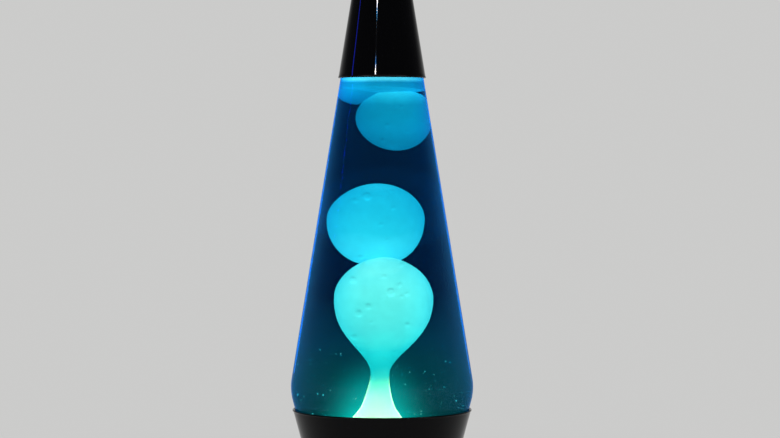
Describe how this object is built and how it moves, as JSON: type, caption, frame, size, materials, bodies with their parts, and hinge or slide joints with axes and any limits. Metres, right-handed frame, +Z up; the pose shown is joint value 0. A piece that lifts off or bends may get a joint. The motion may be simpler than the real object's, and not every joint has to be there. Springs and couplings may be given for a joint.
{
  "type": "liquid motion lamp",
  "caption": "Tapered glass bottle of blue liquid and glowing wax, standing in a gloss black hourglass base with a bulb inside, under a gloss black tapered cap.",
  "frame": {"origin": "on the lamp's axis, on the surface that it stands on", "axes": "+Z up along the lamp's axis, -Y towards the viewer of the picture, +X to that viewer's right; the cord gland is at the back, towards +Y"},
  "size_m": [0.0958, 0.0956, 0.368],
  "materials": {
    "gloss_black": "gloss black paint on spun sheet",
    "clear_glass": "clear pressed glass",
    "blue_liquid": "dyed clear liquid",
    "wax": "soft wax, lit from below",
    "bare_steel": "bare sheet steel",
    "tinned_steel": "tinned sheet",
    "brass": "plain brass",
    "porcelain": "white glazed porcelain",
    "black_steel": "satin black paint",
    "rubber": "black rubber",
    "black_nylon": "moulded nylon",
    "liner": "soft liner",
    "bulb_glass": "clear bulb glass",
    "black_glass": "black fused glass",
    "filament": "tungsten wire"
  },
  "bodies": {
    "base": {"base_cup": "gloss_black", "base_skirt": "gloss_black", "waist_rivets": "bare_steel", "socket_strap": "bare_steel", "threaded_nipple": "brass", "lock_washer": "bare_steel", "nipple_nut": "brass", "lampholder_body": "porcelain", "lampholder_shell": "brass", "lampholder_contact": "brass", "terminal_screws": "brass", "base_plate": "black_steel", "plate_screws": "bare_steel", "rubber_feet": "rubber", "cord_gland": "black_nylon"},
    "cap": {"top_cap": "gloss_black"},
    "globe": {"glass_bottle": "clear_glass", "liquid": "blue_liquid", "wax_column": "wax", "wax_top_pool": "wax", "heating_coil": "bare_steel", "crown_closure": "tinned_steel", "crown_liner": "liner"},
    "bulb": {"bulb_glass": "bulb_glass", "bulb_shell": "brass", "bulb_insulator": "black_glass", "bulb_contact": "tinned_steel", "bulb_stem": "bulb_glass", "bulb_wires": "bare_steel", "bulb_filament": "filament"},
    "middle_blob": {"wax_blob_middle": "wax"},
    "upper_blob": {"wax_blob_upper": "wax"}
  },
  "joints": [
    {"name": "globe_lift", "type": "slide", "parent": "base", "child": "globe", "axis": [0, 0, 1], "range_m": [0, 0.08]},
    {"name": "cap_lift", "type": "slide", "parent": "globe", "child": "cap", "axis": [0, 0, 1], "range_m": [0, 0.07]},
    {"name": "bulb_unscrew", "type": "slide", "parent": "base", "child": "bulb", "axis": [0, 0, 1], "range_m": [0, 0.009]},
    {"name": "middle_blob_drift", "type": "slide", "parent": "globe", "child": "middle_blob", "axis": [0, -0.1616, 0.9869], "range_m": [0, 0.008]},
    {"name": "upper_blob_drift", "type": "slide", "parent": "globe", "child": "upper_blob", "axis": [-0.1616, 0, 0.9869], "range_m": [-0.008, 0]}
  ]
}
